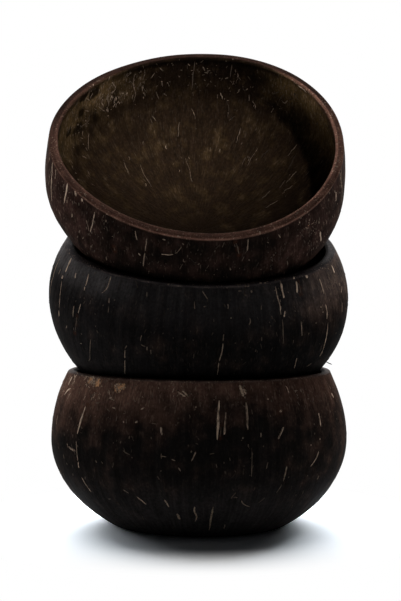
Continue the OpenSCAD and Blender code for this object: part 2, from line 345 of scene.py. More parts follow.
class FibreSettings(bpy.types.PropertyGroup):
    """Husk fibres that lie in the shells."""

    proud: length_setting("Height", "How far a fibre stands out of the shell", 0.1, 0.02, 0.5)
    outer_count: count_setting("Outer fibres", "Long fibres on each bowl's sides and back", 70, high=400)
    fleck_count: count_setting("Flecks", "Short fibres all round the outside of each bowl", 420)
    inner_count: count_setting("Inner hairs", "Fine hairs on the inside of each bowl", 420)
    seed: count_setting("Seed", "Start of the random fibres", 5)


class StageSettings(bpy.types.PropertyGroup):
    """Camera, lamps and floor."""

    camera_distance: FloatProperty(
        name="Camera distance", description="From the stack's axis to the camera",
        subtype="DISTANCE", unit="LENGTH", default=0.8993,
    )
    camera_height: FloatProperty(
        name="Camera height", description="Above the floor",
        subtype="DISTANCE", unit="LENGTH", default=0.15657,
    )
    camera_pitch: FloatProperty(
        name="Camera pitch", description="How far the camera looks down",
        subtype="ANGLE", default=0.0521,
    )
    focal_length: FloatProperty(
        name="Focal length", description="For a long side of 36 mm", default=109.74, unit="CAMERA",
    )
    back_power: power_setting("Back lamp", "Wide softbox above and behind the bowls", 67)
    low_power: power_setting("Low lamp", "Low softbox behind the bowls, at the left", 46)
    snoot_power: power_setting("Snoot", "Narrow lamp above the camera, for the top bowl's inside", 0.05)


def settings():
    return bpy.context.scene.coconut_bowls


class Form:
    """Lean, place and sizes of one bowl, measured on its CAD node, in metres."""

    def __init__(self, node):
        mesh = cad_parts[node].data
        points = np.empty(len(mesh.vertices) * 3)
        mesh.vertices.foreach_get("co", points)
        points = points.reshape(-1, 3)
        axis = self.base_axis(mesh)
        tilt = -math.asin(axis[1])
        roll = math.atan2(axis[0], axis[2])
        self.turn = np.array(Matrix.Rotation(roll, 3, "Y") @ Matrix.Rotation(tilt, 3, "X"))
        own = points @ self.turn
        flat = own[:, 2] < own[:, 2].min() + FLAT_DEPTH * MM
        ring = np.unique(np.round(own[flat], 6), axis=0)
        centre = ring.mean(0)
        angle = np.arctan2(ring[:, 1] - centre[1], ring[:, 0] - centre[0])
        radius = np.hypot(ring[:, 0] - centre[0], ring[:, 1] - centre[1])
        lobe = 2 * np.mean(radius * np.exp(1j * LOBES * angle)) / radius.mean()
        self.lobe_share = abs(lobe)
        self.lobe_turn = np.angle(lobe) / LOBES
        across = own[:, :2] - centre[:2]
        reach = np.hypot(*across.T) / self.lobes(np.arctan2(across[:, 1], across[:, 0]))
        self.belly_r = reach.max()
        belly_z = own[np.argmax(reach), 2]
        height = own[:, 2] - belly_z
        self.rim_rise = height.max()
        self.base_drop = -height.min()
        self.upper = self.half_height(reach, height, height > OFF_BELLY_SHARE * self.rim_rise)
        self.lower = self.half_height(reach, height, height < -OFF_BELLY_SHARE * self.base_drop)
        self.wall = self.belly_r - reach[np.abs(height) < BELLY_BAND * MM].min()
        self.place = self.turn @ np.array([centre[0], centre[1], belly_z])

    def base_axis(self, mesh):
        """Unit vector from the ground base to the rim: against the largest flat face that looks down."""
        normals = np.array([p.normal for p in mesh.polygons])
        areas = np.array([p.area for p in mesh.polygons])
        kinds, kind = np.unique(np.round(normals, 3), axis=0, return_inverse=True)
        totals = np.bincount(kind.ravel(), weights=areas) * (kinds[:, 2] < 0)
        flat = kind.ravel() == np.argmax(totals)
        axis = -(normals[flat] * areas[flat, None]).sum(0)
        return axis / np.linalg.norm(axis)

    def half_height(self, reach, height, part):
        """Half height of the ellipse that the outer face follows above or below the belly."""
        return (np.abs(height[part]) / np.sqrt(1 - (reach[part] / self.belly_r) ** 2)).max()

    def lobes(self, angle):
        return 1 + self.lobe_share * np.cos(LOBES * (angle - self.lobe_turn))

    def face_arc(self, inset, start, end, count):
        """Points of the outer face, or of the inner one with the wall as inset, between two heights."""
        reach = (self.lower if min(start, end) < 0 else self.upper) - inset
        turn = np.linspace(math.asin(start / reach), math.asin(end / reach), count)
        return np.stack([(self.belly_r - inset) * np.cos(turn), reach * np.sin(turn)], 1)

    def world(self, own):
        return own @ self.turn.T + self.place


def rounded(start, corner, end, count):
    """Points of a rounded edge between two points round their corner, without the two."""
    u = np.linspace(0, 1, count + 2)[1:-1, None]
    return start * (1 - u) ** 2 + corner * 2 * u * (1 - u) + end * u ** 2


def shell_section(form, shape, inner_ease):
    """Half section from the base's middle, up the outside, over the rim and down to the floor's middle,
    as radius and height, with the zone of each point and the first and last point of the wall."""
    top, drop, wall = form.rim_rise, form.base_drop, form.wall
    lower = form.face_arc(0, shape.base_ease - drop, 0, RINGS["lower"])
    upper = form.face_arc(0, 0, top - shape.outer_ease, RINGS["upper"])[1:]
    inner_upper = form.face_arc(wall, top - inner_ease, 0, RINGS["inner_upper"])
    inner_lower = form.face_arc(wall, 0, wall + shape.floor_ease - drop, RINGS["inner_lower"])[1:]
    base_r = form.face_arc(0, -drop, 0, 2)[0, 0]
    rim_outer_r = form.face_arc(0, 0, top, 2)[1, 0]
    rim_inner_r = form.face_arc(wall, 0, top, 2)[1, 0]
    floor_r = form.face_arc(wall, 0, wall - drop, 2)[1, 0]
    base_end = np.array([base_r - shape.base_ease, -drop])
    rim_start = np.array([rim_outer_r - shape.outer_ease, top])
    rim_end = np.array([rim_inner_r + inner_ease, top])
    floor_start = np.array([floor_r - shape.floor_ease, wall - drop])
    across = np.linspace(0, 1, RINGS["flat"])[:, None]
    parts = [
        (OUTER, base_end * [0, 1] + (base_end * [1, 0]) * across[1:]),
        (OUTER, rounded(base_end, np.array([base_r, -drop]), lower[0], RINGS["base_edge"])),
        (OUTER, lower),
        (OUTER, upper),
        (RIM, rounded(upper[-1], np.array([rim_outer_r, top]), rim_start, RINGS["outer_edge"])),
        (RIM, rim_start + (rim_end - rim_start) * across[::3]),
        (INNER, rounded(rim_end, np.array([rim_inner_r, top]), inner_upper[0], RINGS["inner_edge"])),
        (INNER, inner_upper),
        (INNER, inner_lower),
        (INNER, rounded(
            inner_lower[-1], np.array([floor_r, wall - drop]), floor_start, RINGS["floor_edge"]
        )),
        (INNER, floor_start * [0, 1] + (floor_start * [1, 0]) * across[::-1][:-1]),
    ]
    counts = [len(p) for _, p in parts]
    points = np.concatenate([p for _, p in parts])
    zones = np.concatenate([np.full(len(p), zone) for zone, p in parts])
    return points, zones, (sum(counts[:2]), sum(counts[:9]) - 1)


def waves(rng, points, longest, shortest, count, stretch=1):
    """A smooth random height from 0 to 1 at each point: plane waves of seeded directions, and of lengths
    in mm. stretch makes them longer along the third axis."""
    total = np.zeros(len(points))
    for _ in range(count):
        way = rng.normal(size=3) / np.array([1, 1, stretch])
        way /= np.linalg.norm(way * [1, 1, stretch])
        length = rng.uniform(shortest * MM, longest * MM)
        total += np.cos(points @ way * math.tau / length + rng.uniform(0, math.tau))
    return np.clip(0.5 + total / (WAVE_SPREAD * math.sqrt(count)), 0, 1)


def smooth_step(value, low, high):
    """From 0 where a length is low to 1 where it is high, both in mm."""
    share = np.clip((value - low * MM) / (high * MM - low * MM), 0, 1)
    return share * share * (3 - 2 * share)


def painted_grey_light_share(node, own):
    """How much painted grey each outer point has: a painted sheen on the middle bowl's left shoulder, crown
    and left, and painted light from the floor on the bottom bowl's foot.
    """
    across, height = own[:, 0], own[:, 2]
    if node == "middle_bowl":
        shoulder = smooth_step(-across, 12, 46) * smooth_step(height, 8, 24)
        crown = 0.34 * smooth_step(height, -6, 22)
        left = 0.2 * smooth_step(-across, -10, 50)
        return np.maximum(0.8 * shoulder, np.maximum(crown, left))
    if node == "bottom_bowl":
        middle = 1 - 0.65 * smooth_step(np.abs(across), 12, 56)
        return 0.7 * middle * smooth_step(-height, 0, 38)
    return np.zeros(len(own))


def new_object(name, verts, faces, materials):
    mesh = bpy.data.meshes.new(name)
    mesh.from_pydata(verts.tolist(), [], faces)
    for material in materials:
        mesh.materials.append(material)
    mesh.polygons.foreach_set("use_smooth", [True] * len(mesh.polygons))
    made = bpy.data.objects.new(name, mesh)
    bpy.context.scene.collection.objects.link(made)
    return made


def set_attribute(mesh, name, values):
    """Stores one number, or one vector, for each point of the mesh."""
    kind, key = ("FLOAT", "value") if values.ndim == 1 else ("FLOAT_VECTOR", "vector")
    mesh.attributes.new(name, kind, "POINT").data.foreach_set(key, values.ravel())


def photo_hit(tree, pixel):
    """Point and normal where the camera's ray through a pixel of the photograph first meets the surface."""
    camera = bpy.context.scene.camera
    if camera is None:
        raise RuntimeError("the stage comes first: fibres are placed through its camera")
    scale = max(PHOTO_WIDTH, PHOTO_HEIGHT) * camera.data.lens / camera.data.sensor_width
    across = (pixel[0] - PHOTO_WIDTH / 2) / scale
    up = (PHOTO_HEIGHT / 2 - pixel[1]) / scale
    way = camera.matrix_world.to_3x3() @ Vector((across, up, -1))
    point, normal, _, _ = tree.ray_cast(camera.matrix_world.translation, way)
    return point, normal


def surface_tree(made):
    return BVHTree.FromObject(made, bpy.context.evaluated_depsgraph_get())


def near_spots(points, tree, spots):
    """How strongly each point lies in one of the spots, each a size in mm, a strength and a pixel."""
    total = np.zeros(len(points))
    for size, strength, pixel in spots:
        hit, _ = photo_hit(tree, pixel)
        if hit is not None:
            gap = np.linalg.norm(points - np.array(hit), axis=1) / (size * MM)
            total = np.maximum(total, strength * np.exp(-gap ** 2))
    return total


def worn_and_painted_light_share(node, own):
    """How brown each outer point is, partly sanded shell and partly painted light: the bottom bowl upwards
    and at its right, the middle bowl at its right, the top bowl upwards and at its sides.
    """
    across, height = own[:, 0], own[:, 2]
    if node == "bottom_bowl":
        right = smooth_step(across, 14, 66) * smooth_step(height, -30, 16)
        left = smooth_step(-across, -10, 50) * smooth_step(height, -24, 14)
        return smooth_step(height - 0.1 * across, 4, 36) + 0.35 * right + 0.12 * left
    if node == "middle_bowl":
        right = smooth_step(across, 34, 62) * smooth_step(height, -8, 14)
        return np.maximum(0.75 * right, 0.15 * smooth_step(height, 6, 26) - 0.2)
    sides = smooth_step(np.abs(across + 4 * MM), 24, 68) * np.where(across > 0, 0.5, 0.8)
    return (0.2 + 0.8 * sides) * smooth_step(height, -40, 6)


def outer_painted_light(node, own):
    """Painted light on the skin, as a factor on its colour: the bottom bowl's front crown, which the bowl
    above shades, and the middle bowl's right and left shoulders.
    """
    across, near, height = own[:, 0], -own[:, 1], own[:, 2]
    if node == "bottom_bowl":
        crown = smooth_step(height, 14, 28) * smooth_step(-across, -50, 25)
        front = smooth_step(near, -15, 20) + 0.3 * smooth_step(near, 20, 50)
        return 1 + 0.6 * crown * front
    if node == "middle_bowl":
        right = smooth_step(across, 42, 60) * smooth_step(height, 2, 18)
        left = smooth_step(-across, 28, 60) * smooth_step(height, 10, 26)
        return 1 + 1.1 * right + 0.3 * left
    return np.ones(len(own))


def back_share(own):
    """1 at a bowl's back, and sooner on the left than on the right, and 0 at its front."""
    return smooth_step(own[:, 1] - 0.12 * own[:, 0], -9, 33)


def rim_painted_light_and_shade(node, own):
    """Painted light and shade on the sawn face, as a factor on its colour: the top bowl's is paler at the
    front and dark at the back.
    """
    if node != "top_bowl":
        return np.ones(len(own))
    return 1.5 - 1.2 * back_share(own) + 0.4 * smooth_step(-own[:, 1], 25, 55)


def inner_painted_light_and_shade(node, own, depth):
    """Painted light and shade on the inside, as a factor on its colour: below the top bowl's rim it goes on
    from the sawn face's, with painted light on its right and left walls; the other bowls get painted shade
    just below the rim, under the bowl above."""
    rim = rim_painted_light_and_shade(node, own) if node == "top_bowl" else 0.35
    shade = 1 + (rim - 1) * (1 - smooth_step(depth, 1.5, 8))
    if node != "top_bowl":
        return shade
    sides = 2.2 * smooth_step(own[:, 0], 28, 56) + 0.5 * smooth_step(-own[:, 0], 40, 60)
    return shade + sides * (1 - smooth_step(depth, 5, 26))


def sawn_band(node, own):
    """How far the sawn face's look reaches down the inside, in mm."""
    if node != "top_bowl":
        return 0.4 * np.ones(len(own))
    sides = smooth_step(np.abs(own[:, 0]), 30, 58)
    return 3.0 - 1.0 * back_share(own) + 4.0 * sides


def running_length(points):
    """Length along a line of points up to each of them."""
    return np.concatenate([[0], np.cumsum(np.linalg.norm(np.diff(points, axis=0), axis=1))])


def unwrap_shell(mesh, form, section, columns, wall):
    """Flat islands of one scale: the wall in two halves, from the base over the rim to the floor, and
    two discs. wall holds the section's first and last ring of the wall."""
    arc = running_length(section)
    arc -= arc[wall[0]]
    high, gap, disc = arc[wall[1]], 2 * MM, section[list(wall), 0].max()
    size = 2 * high + 3 * gap
    turn = math.tau / columns
    ring = np.arange(len(section) - 1)[:, None, None] + [0, 0, 1, 1]
    column = np.arange(columns)[None, :, None] + [0, 1, 1, 0]
    second = (np.arange(columns) >= columns // 2)[None, :, None]
    strip = np.stack(np.broadcast_arrays(
        (column - second * (columns // 2)) * turn * form.belly_r + gap,
        arc[ring] + second * (high + gap) + gap,
    ), -1)
    middle_across = math.pi * form.belly_r + 2 * gap + disc

    def on_disc(rings, columns_of, middle_height):
        radius = section[rings, 0]
        at = np.stack(np.broadcast_arrays(
            radius * np.cos(columns_of * turn), radius * np.sin(columns_of * turn)
        ), -1)
        return at + [middle_across, middle_height]

    base, floor = ring[..., 0] < wall[0], ring[..., 0] >= wall[1]
    base_height, floor_height = gap + disc, 2 * gap + 3 * disc
    strip = np.where(base[..., None, None], on_disc(ring, column, base_height), strip)
    strip = np.where(floor[..., None, None], on_disc(ring, column, floor_height), strip)
    fans = []
    for end, height, order in ((0, base_height, (1, 0)), (len(section) - 1, floor_height, (0, 1))):
        edge = on_disc(np.array([[end, end]]), np.arange(columns)[:, None] + order, height)
        middle = np.broadcast_to([middle_across, height], (columns, 1, 2))
        fans.append(np.concatenate([middle, edge], 1).reshape(-1, 2))
    places = np.concatenate([fans[0], strip.reshape(-1, 2), fans[1]]) / size
    mesh.uv_layers.new(name="OFBake").data.foreach_set("uv", places.ravel())


def turned_section(form, section, columns):
    """The section turned round the bowl's axis: its points, their normals and their place on the grain."""
    angle = np.arange(columns) * math.tau / columns
    cos, sin, rings = np.cos(angle), np.sin(angle), len(section)
    radius = section[:, :1] * form.lobes(angle)
    own = np.stack([radius * cos, radius * sin, np.repeat(section[:, 1:], columns, 1)], 2)
    along = np.gradient(section, axis=0)
    facing = np.stack([along[:, 1], -along[:, 0]], 1)
    facing /= np.linalg.norm(facing, axis=1, keepdims=True)
    normal = np.stack([facing[:, :1] * cos, facing[:, :1] * sin, np.repeat(facing[:, 1:], columns, 1)], 2)
    arc = np.repeat(running_length(section), columns)
    grain = np.stack([form.belly_r * np.tile(cos, rings), form.belly_r * np.tile(sin, rings), arc], 1)
    return own.reshape(-1, 3), normal.reshape(-1, 3), grain


def work_by_hand(rng, node, form, shape, own, normal, grain, zone):
    """Moves the points by what hand work leaves: waves and ridges outside, scraped hollows inside, and a
    rim that dips a little and rises at the front."""
    height = own[:, 2].copy()
    off_base = smooth_step(height + form.base_drop, 0.5, 6)
    off_rim = smooth_step(form.rim_rise - height, 0, 5)
    off_floor = smooth_step(height + form.base_drop - form.wall, 0, 4) * 0.7 + 0.3
    depth = shape.undulation * waves(rng, own, 60, 18, 24)
    depth += shape.ridges * waves(rng, grain, 9, 3.2, 40, stretch=9)
    hollow = shape.scraping * waves(rng, grain, 30, 5, 36, stretch=2.5)
    inward = np.where(zone == INNER, hollow * off_floor * off_rim, depth * off_base * (0.3 + 0.7 * off_rim))
    inward[zone == RIM] = 0
    own -= normal * inward[:, None]
    dip = shape.rim_wave * waves(rng, own * [1, 1, 0], 90, 24, 12)
    rise = shape.near_rise if node == "top_bowl" else shape.lower_near_rise
    lift = smooth_step(-own[:, 1], -20, 50) * rise - dip
    own[:, 2] += lift * smooth_step(form.rim_rise - own[:, 2], 16, 0)


def shell_faces(zones, columns):
    """Faces of a turned section, closed by a fan at each end, and the zone of each face."""
    rings = len(zones)
    first = np.arange(columns)
    after = (first + 1) % columns
    last = (rings - 1) * columns
    base_fan = np.stack([np.full(columns, rings * columns), after, first], 1)
    floor_fan = np.stack([np.full(columns, rings * columns + 1), first + last, after + last], 1)
    band = np.stack([first, after, after + columns, first + columns], 1)
    walls = (band + np.arange(rings - 1)[:, None, None] * columns).reshape(-1, 4)
    band_zones = np.where(zones[:-1] == RIM, RIM, np.minimum(zones[:-1], zones[1:]))
    face_zones = np.concatenate([
        np.full(columns, OUTER), np.repeat(band_zones, columns), np.full(columns, INNER)
    ])
    return base_fan.tolist() + walls.tolist() + floor_fan.tolist(), face_zones


def build_shell(node, shape, materials):
    """One closed bowl, in place, with the attributes that its materials read."""
    rng = np.random.default_rng(shape.seed + BOWLS.index(node))
    form = Form(node)
    inner_ease = shape.inner_ease if node == "top_bowl" else shape.lower_inner_ease
    section, zones, wall = shell_section(form, shape, inner_ease)
    columns = shape.columns
    own, normal, grain = turned_section(form, section, columns)
    zone = np.repeat(zones, columns)
    work_by_hand(rng, node, form, shape, own, normal, grain, zone)
    middles = [[0, 0, -form.base_drop], [0, 0, form.wall - form.base_drop]]
    verts = form.world(np.concatenate([own, middles]))
    faces, face_zones = shell_faces(zones, columns)
    made = new_object(f"{node}_shell", verts, faces, materials)
    mesh = made.data
    mesh.polygons.foreach_set("material_index", face_zones)
    unwrap_shell(mesh, form, section, columns, wall)

    arc = running_length(section)
    rim_half = np.ptp(arc[zones == RIM]) / 2
    past_rim = grain[:, 2] - np.mean(arc[zones == RIM])
    below, inside = -past_rim - rim_half, past_rim - rim_half
    sawn = np.where(
        past_rim < 0, 1 - smooth_step(below, 0, 0.5), 1 - smooth_step(inside, 0, sawn_band(node, own))
    )
    # A painted highlight along the rim's outer edge
    edge = np.exp(-((past_rim + rim_half) / (0.35 * MM)) ** 2)
    # Painted light and shade, as a factor on each zone's colour
    lightness = np.select(
        [zone == OUTER, zone == RIM],
        [outer_painted_light(node, own), rim_painted_light_and_shade(node, own)],
        inner_painted_light_and_shade(node, own, inside),
    )
    tree = surface_tree(made)
    top = node == "top_bowl"
    spotted = {
        "blotch": OUTER_BLOTCHES[node],
        "rust": [
            (width * STAIN_SPREAD, rust, pixel)
            for (width, _, rust), *route in OUTER_FIBRES[node] for pixel in route if rust > LEAST_STAIN
        ],
        "pit": INNER_PITS if top else (),
        "pale": INNER_PALE_AND_PAINTED_LIGHT if top else (),
    }
    for name, spots in spotted.items():
        set_attribute(mesh, name, near_spots(verts, tree, spots))
    set_attribute(mesh, "grain", np.concatenate([grain, [[0, 0, 0], [0, 0, arc[-1]]]]))
    # Each with its value at the two middles of the base and the floor
    for name, values, middle in (
        ("worn", worn_and_painted_light_share(node, own), 0), ("bloom", painted_grey_light_share(node, own), 0),
        ("lightness", lightness, 1), ("sawn", sawn, 0), ("edge", edge, 0),
    ):
        set_attribute(mesh, name, np.concatenate([values, [middle, middle]]))
    mesh.validate()
    return made


def add(tree, kind, inputs=None, out=0, **settings):
    """Adds a node with its settings and its inputs, each a value or another node's output, and returns
    one of its outputs, if it has any."""
    made = tree.nodes.new(kind)
    for key, value in settings.items():
        setattr(made, key, value)
    for key, value in (inputs or {}).items():
        if isinstance(value, bpy.types.NodeSocket):
            tree.links.new(value, made.inputs[key])
        else:
            made.inputs[key].default_value = value
    return made.outputs[out] if made.outputs else None


def lay(tree, under, over, share, low=0.0, high=1.0, most=1.0):
    """Lays one colour over another: not at all where the share is low, and up to most where it is high."""
    amount = add(
        tree, "ShaderNodeMapRange",
        {"Value": share, "From Min": low, "From Max": high, "To Max": most},
        interpolation_type="SMOOTHSTEP",
    )
    return add(tree, "ShaderNodeMix", {0: amount, 6: under, 7: over}, out=2, data_type="RGBA")


def shaded(tree, colour, value, low, high, darkest, palest):
    """Makes a colour darker where a value is low and paler where it is high."""
    strength = add(tree, "ShaderNodeMapRange", {
        "Value": value, "From Min": low, "From Max": high, "To Min": darkest, "To Max": palest,
    })
    return add(tree, "ShaderNodeVectorMath", {0: colour, "Scale": strength}, operation="SCALE")


def new_material(name):
    material = bpy.data.materials.new(name)
    material.use_nodes = True
    material.node_tree.nodes.clear()
    return material


def opaque(colour):
    return (*colour, 1)


def pattern(tree, coordinates, across, along, detail=2.0, seed=0.0):
    """Noise whose features are across wide and along long, in metres, on the grain's coordinates."""
    scaled = add(
        tree, "ShaderNodeVectorMath", {0: coordinates, 1: (1 / across, 1 / across, 1 / along)},
        operation="MULTIPLY",
    )
    return add(
        tree, "ShaderNodeTexNoise", {"Vector": scaled, "W": seed, "Scale": 1.0, "Detail": detail},
        noise_dimensions="4D",
    )


def finish(tree, colour, roughness, height, depth, specular):
    """Ends a material in a rough, uncoated surface with its bump."""
    bump = add(tree, "ShaderNodeBump", {"Height": height, "Distance": depth, "Strength": 1.0})
    surface = add(tree, "ShaderNodeBsdfPrincipled", {
        "Base Color": colour, "Roughness": roughness, "Normal": bump,
        "IOR": 1.5, "Specular IOR Level": specular,
    })
    add(tree, "ShaderNodeOutputMaterial", {"Surface": surface})


def shell_material(name, colours):
    """A new material of one bowl, its nodes, and the places on the grain and in the object."""
    material = new_material(f"{name}_{colours.part}")
    tree = material.node_tree
    grain = add(tree, "ShaderNodeAttribute", out="Vector", attribute_name="grain")
    place = add(tree, "ShaderNodeTexCoord", out="Object")
    return material, tree, grain, place


class Palette:
    """The colours of one bowl."""

    def __init__(self, node):
        colours, part = settings().colours, node.split("_")[0]
        self.part = part
        self.ground, self.worn, self.sawn = (
            tuple(getattr(colours, f"{part}_{kind}")) for kind in ("ground", "worn", "sawn")
        )
        self.bloom, self.husk, self.rust = tuple(colours.bloom), tuple(colours.husk), tuple(colours.rust)
        self.inner_dark, self.inner_pale = tuple(colours.inner_dark), tuple(colours.inner_pale)


def times(colour, share):
    return opaque(tuple(share * c for c in colour))


def sawn_look(tree, grain, place, colours):
    """Colour of shell that a saw has cut: layers of the wall seen edge on, with pale and dark pores, a
    painted highlight along the rim's outer edge, and painted light and shade.
    """
    layers = pattern(tree, grain, 9 * MM, 0.7 * MM, detail=2.0)
    clouds = pattern(tree, place, 5 * MM, 5 * MM, detail=3.0, seed=9.0)
    # Pores of the shell are about 0.2 mm; drawn 0.8 mm wide, or they would not show
    pores = pattern(tree, place, 0.8 * MM, 0.8 * MM, detail=1.0, seed=2.0)
    colour = shaded(tree, colours.sawn, layers, 0.35, 0.65, 0.7, 1.25)
    colour = shaded(tree, colour, clouds, 0.35, 0.65, 0.75, 1.25)
    colour = lay(tree, colour, times(colours.sawn, 0.2), pores, 0.42, 0.34, 0.45)
    colour = lay(tree, colour, opaque(colours.husk), pores, 0.62, 0.70, 0.25)
    # A painted highlight along the rim's outer edge, in the husk's colour
    edge = add(tree, "ShaderNodeAttribute", out="Fac", attribute_name="edge")
    painted_highlight = add(tree, "ShaderNodeMath", {0: edge, 1: clouds}, operation="MULTIPLY")
    colour = lay(tree, colour, opaque(colours.husk), painted_highlight, 0.3, 0.75, 0.12)
    # Painted light and shade, as a factor on the colour
    lightness = add(tree, "ShaderNodeAttribute", out="Fac", attribute_name="lightness")
    return add(tree, "ShaderNodeVectorMath", {0: colour, "Scale": lightness}, operation="SCALE")


def sanded_shell(colours):
    """Coconut shell, sanded and oiled: near black, browner where sanded and where light is painted, clouded
    and streaked along the grain, greyed by a painted sheen and painted light from the floor, with further
    painted light and shade, pale flecks and a low soft sheen."""
    material, tree, grain, place = shell_material("sanded_oiled_coconut_shell", colours)
    # Strands of the grain are about 0.2 mm; drawn 0.9 mm wide, or they would not show
    strands = pattern(tree, grain, 0.9 * MM, 14 * MM, detail=2.0)
    bands = pattern(tree, grain, 3 * MM, 45 * MM, detail=2.0, seed=1.0)
    mottle = pattern(tree, place, 8 * MM, 8 * MM, detail=4.0)
    grit = pattern(tree, place, 1.3 * MM, 1.3 * MM, detail=2.0, seed=5.0)
    flecks = pattern(tree, grain, 0.8 * MM, 2.5 * MM, detail=1.0, seed=3.0)
    # Where the brown shows: partly sanded shell, partly painted light
    share = add(tree, "ShaderNodeAttribute", out="Fac", attribute_name="worn")
    uneven = add(tree, "ShaderNodeMath", {0: mottle, 1: 1.6, 2: share}, operation="MULTIPLY_ADD")
    colour = lay(tree, opaque(colours.ground), opaque(colours.worn), uneven, 0.75, 1.95)
    # Painted grey: a sheen on the middle bowl, and light from the floor on the bottom bowl's foot
    dry = add(tree, "ShaderNodeAttribute", out="Fac", attribute_name="bloom")
    colour = lay(tree, colour, opaque(colours.bloom), dry)
    for value, low, high, darkest, palest in (
        (strands, 0.35, 0.65, 0.85, 1.15), (bands, 0.35, 0.65, 0.8, 1.2),
        (mottle, 0.3, 0.7, 0.8, 1.2), (grit, 0.3, 0.7, 0.75, 1.3),
    ):
        colour = shaded(tree, colour, value, low, high, darkest, palest)
    pale = tuple(0.8 * w + 0.2 * h for w, h in zip(colours.worn, colours.husk))
    here = add(tree, "ShaderNodeMapRange", {
        "Value": uneven, "From Min": 0.9, "From Max": 1.7, "To Min": 0.05, "To Max": 0.4,
    })
    colour = lay(tree, colour, opaque(pale), flecks, 0.58, 0.68, here)
    stain = add(tree, "ShaderNodeAttribute", out="Fac", attribute_name="rust")
    stained = add(tree, "ShaderNodeMath", {0: stain, 1: strands}, operation="MULTIPLY")
    colour = lay(tree, colour, times(colours.rust, 0.45), stained, 0.1, 0.5, 0.6)
    # Painted light and shade, as a factor on the colour
    lightness = add(tree, "ShaderNodeAttribute", out="Fac", attribute_name="lightness")
    colour = add(tree, "ShaderNodeVectorMath", {0: colour, "Scale": lightness}, operation="SCALE")
    patch = add(tree, "ShaderNodeAttribute", out="Fac", attribute_name="blotch")
    crumbs = pattern(tree, grain, 0.8 * MM, 1.6 * MM, detail=4.0, seed=4.0)
    ragged = add(tree, "ShaderNodeMath", {0: patch, 1: crumbs}, operation="MULTIPLY")
    tan = tuple(h * s for h, s in zip(colours.husk, (1.0, 0.74, 0.52)))
    colour = lay(tree, colour, opaque(tan), ragged, 0.33, 0.45)
    cut = add(tree, "ShaderNodeAttribute", out="Fac", attribute_name="sawn")
    colour = lay(tree, colour, sawn_look(tree, grain, place, colours), cut)
    roughness = add(tree, "ShaderNodeMapRange", {"Value": mottle, "To Min": 0.38, "To Max": 0.55})
    height = add(tree, "ShaderNodeMath", {0: mottle, 1: 0.5, 2: strands}, operation="MULTIPLY_ADD")
    finish(tree, colour, roughness, height, 0.12 * MM, 0.001)
    return material


def sawn_shell(colours):
    """Coconut shell, sawn across and rubbed smooth: satin, a little redder and paler than the outside, with
    a painted highlight along its outer edge and painted light and shade.
    """
    material, tree, grain, place = shell_material("sawn_coconut_shell", colours)
    grit = pattern(tree, place, 0.7 * MM, 0.7 * MM, detail=3.0)
    roughness = add(tree, "ShaderNodeMapRange", {"Value": grit, "To Min": 0.38, "To Max": 0.55})
    finish(tree, sawn_look(tree, grain, place, colours), roughness, grit, 0.06 * MM, 0.03)
    return material


def scraped_shell(colours):
    """Coconut shell, scraped and oiled on the inside: mottled olive brown, with fine pale hairs along the
    grain, darker hollows that the scraper missed, paler patches that are partly painted light, and painted
    light and shade near the rim and on the walls."""
    material, tree, grain, place = shell_material("scraped_oiled_coconut_shell", colours)
    mottle = pattern(tree, place, 7 * MM, 7 * MM, detail=5.0, seed=6.0)
    # Hairs of the inner skin are about 0.1 mm; drawn 0.5 mm wide, or they would not show
    hairs = pattern(tree, grain, 0.5 * MM, 3 * MM, detail=2.0, seed=7.0)
    scrapes = pattern(tree, grain, 2.2 * MM, 9 * MM, detail=4.0, seed=8.0)
    grit = pattern(tree, place, 1.2 * MM, 1.2 * MM, detail=2.0, seed=10.0)
    # Paler patches, partly painted light on the top bowl's right wall
    paler = add(tree, "ShaderNodeAttribute", out="Fac", attribute_name="pale")
    share = add(tree, "ShaderNodeMath", {0: mottle, 1: 1.1, 2: paler}, operation="MULTIPLY_ADD")
    colour = lay(tree, opaque(colours.inner_dark), opaque(colours.inner_pale), share, 0.47, 1.53)
    colour = shaded(tree, colour, scrapes, 0.35, 0.65, 1.2, 0.7)
    colour = shaded(tree, colour, grit, 0.3, 0.7, 0.7, 1.35)
    here = add(tree, "ShaderNodeMapRange", {
        "Value": share, "From Min": 0.6, "From Max": 1.5, "To Min": 0.02, "To Max": 0.3,
    })
    colour = lay(tree, colour, opaque(colours.husk), hairs, 0.55, 0.66, here)
    pit = add(tree, "ShaderNodeAttribute", out="Fac", attribute_name="pit")
    ragged = add(tree, "ShaderNodeMath", {0: pit, 1: scrapes}, operation="ADD")
    colour = lay(tree, colour, times(colours.inner_dark, 0.5), ragged, 0.7, 1.2, 0.9)
    # Painted light and shade, as a factor on the colour
    lightness = add(tree, "ShaderNodeAttribute", out="Fac", attribute_name="lightness")
    colour = add(tree, "ShaderNodeVectorMath", {0: colour, "Scale": lightness}, operation="SCALE")
    cut = add(tree, "ShaderNodeAttribute", out="Fac", attribute_name="sawn")
    colour = lay(tree, colour, sawn_look(tree, grain, place, colours), cut)
    roughness = add(tree, "ShaderNodeMapRange", {"Value": mottle, "To Min": 0.5, "To Max": 0.7})
    height = add(tree, "ShaderNodeMath", {0: hairs, 1: 0.4, 2: scrapes}, operation="MULTIPLY_ADD")
    finish(tree, colour, roughness, height, 0.2 * MM, 0.03)
    return material


def husk_fibre(colours):
    """Coconut husk fibre, sanded flush: dry, matt, tan to reddish."""
    material = new_material("sanded_husk_fibre")
    tree = material.node_tree
    place = add(tree, "ShaderNodeTexCoord", out="Object")
    grit = pattern(tree, place, 0.8 * MM, 2.0 * MM, detail=2.0)
    tone = add(tree, "ShaderNodeAttribute", out="Fac", attribute_name="tone")
    rusty = add(tree, "ShaderNodeAttribute", out="Fac", attribute_name="rusty")
    colour = lay(tree, opaque(colours.husk), opaque(colours.rust), grit, 0.7, 0.3, rusty)
    colour = lay(tree, times(colours.husk, 0.02), colour, grit, 0.15, 0.6, tone)
    finish(tree, colour, 0.7, grit, 0.05 * MM, 0.05)
    return material


